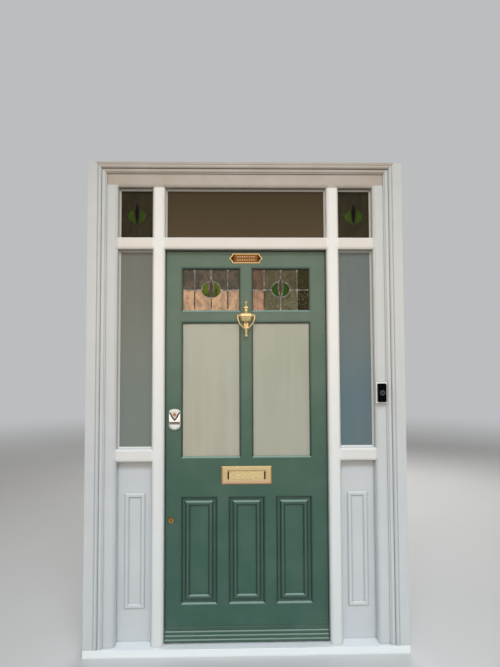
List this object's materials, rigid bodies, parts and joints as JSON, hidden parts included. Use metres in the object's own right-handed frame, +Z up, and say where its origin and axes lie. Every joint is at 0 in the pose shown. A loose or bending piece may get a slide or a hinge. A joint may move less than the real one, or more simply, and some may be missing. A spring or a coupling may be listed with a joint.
{
  "type": "panelled front door",
  "caption": "Painted timber front door with glazed upper lights, sunk lower panels and brass furniture, hung in a frame with side lights and top lights.",
  "frame": {"origin": "middle of the sill's underside, in the plane of the frame's outer face", "axes": "+X across the front to the right as seen from outside, +Y into the house, +Z up"},
  "size_m": [1.736, 0.176, 2.66],
  "materials": {
    "frame_paint": "white gloss paint on timber",
    "leaf_paint": "soft green satin paint on timber",
    "frosted_glass": "frosted patterned glass",
    "clear_glass": "clear float glass",
    "textured_glass": "wavy textured glass",
    "green_glass": "green cathedral glass",
    "bud_glass": "plum brown cathedral glass",
    "lead": "dull lead came",
    "brass": "polished brass",
    "chrome": "bright chrome",
    "lock_steel": "zinc plated steel",
    "hinge_steel": "satin steel",
    "latch_enamel": "bronze enamel",
    "packer_plastic": "white satin plastic",
    "bell_plastic": "black plastic",
    "button_plastic": "dark grey plastic"
  },
  "bodies": {
    "frame": {"sill": "frame_paint", "left_post": "frame_paint", "right_post": "frame_paint", "left_mullion": "frame_paint", "right_mullion": "frame_paint", "head": "frame_paint", "door_transom": "frame_paint", "side_transoms": "frame_paint", "side_rails": "frame_paint", "apron_panels": "frame_paint", "apron_mouldings": "frame_paint", "side_architraves": "frame_paint", "head_architrave": "frame_paint", "frame_glazing_beads": "frame_paint", "sidelight_panes": "frosted_glass", "fanlight_pane": "clear_glass", "corner_light_glass": "textured_glass", "corner_light_petals": "green_glass", "corner_light_buds": "bud_glass", "corner_light_cames": "lead", "bell_packer": "packer_plastic", "bell_case": "bell_plastic", "latch_keep": "latch_enamel", "strike_plate": "brass", "frame_hinge_flaps": "hinge_steel", "hinge_pins": "hinge_steel"},
    "leaf": {"lock_stile": "leaf_paint", "hinge_stile": "leaf_paint", "top_rail": "leaf_paint", "glazing_rail": "leaf_paint", "lock_rail": "leaf_paint", "bottom_rail": "leaf_paint", "glazing_muntins": "leaf_paint", "panel_muntins": "leaf_paint", "door_panels": "leaf_paint", "panel_mouldings": "leaf_paint", "weatherboard": "leaf_paint", "door_glazing_beads": "leaf_paint", "lower_panes": "frosted_glass", "upper_light_glass": "textured_glass", "upper_light_petals": "green_glass", "upper_light_buds": "bud_glass", "upper_light_cames": "lead", "door_hinge_flaps": "hinge_steel", "letter_plate": "brass", "letter_plate_bolts": "brass", "knocker_body": "brass", "plaque": "brass", "cylinder_pull": "chrome", "lower_rose": "brass", "mortice_lock": "lock_steel", "latch_case": "latch_enamel"},
    "bell_button": {"bell_button": "button_plastic"},
    "letter_flap": {"letter_flap": "brass"},
    "knocker_ring": {"knocker_ring": "brass"},
    "cylinder_plug": {"cylinder_plug": "brass"},
    "lower_plug": {"lower_plug": "brass"},
    "deadbolt": {"deadbolt": "brass"},
    "latch_bolt": {"latch_bolt": "brass"},
    "turn_knob": {"turn_knob": "brass"}
  },
  "joints": [
    {"name": "door_swing", "type": "hinge", "parent": "frame", "child": "leaf", "pos_m": [0.4585, 0.0955, 1.154], "axis": [0, 0, -1], "range_deg": [0, 95]},
    {"name": "flap_swing", "type": "hinge", "parent": "leaf", "child": "letter_flap", "pos_m": [0, 0.047, 0.951], "axis": [1, 0, 0], "range_deg": [0, 75], "stiffness_Nm_per_rad": 0.06, "springref_deg": -20.05},
    {"name": "knocker_swing", "type": "hinge", "parent": "leaf", "child": "knocker_ring", "pos_m": [0, 0.021, 1.811], "axis": [-1, 0, 0], "range_deg": [0, 80]},
    {"name": "latch_slide", "type": "slide", "parent": "leaf", "child": "latch_bolt", "axis": [-1, 0, 0], "range_m": [0, 0.014]},
    {"name": "knob_turn", "type": "hinge", "parent": "leaf", "child": "turn_knob", "pos_m": [-0.396, 0.117, 1.265], "axis": [0, 1, 0], "range_deg": [0, 60]},
    {"name": "latch_plug_turn", "type": "hinge", "parent": "leaf", "child": "cylinder_plug", "pos_m": [-0.396, 0.045, 1.265], "axis": [0, 1, 0], "range_deg": [0, 60]},
    {"name": "deadbolt_slide", "type": "slide", "parent": "leaf", "child": "deadbolt", "axis": [-1, 0, 0], "range_m": [0, 0.02]},
    {"name": "lower_plug_turn", "type": "hinge", "parent": "leaf", "child": "lower_plug", "pos_m": [-0.4138, 0.045, 0.6895], "axis": [0, 1, 0], "range_deg": [0, 360]},
    {"name": "bell_press", "type": "slide", "parent": "frame", "child": "bell_button", "axis": [0, 1, 0], "range_m": [0, 0.0015], "stiffness_N_per_m": 800, "springref_m": -0.001}
  ],
  "couplings": [
    {"joint": "knob_turn", "follows": "latch_slide", "rad_per_m": 74.7},
    {"joint": "latch_plug_turn", "follows": "latch_slide", "rad_per_m": 74.7},
    {"joint": "lower_plug_turn", "follows": "deadbolt_slide", "rad_per_m": 314.1}
  ]
}
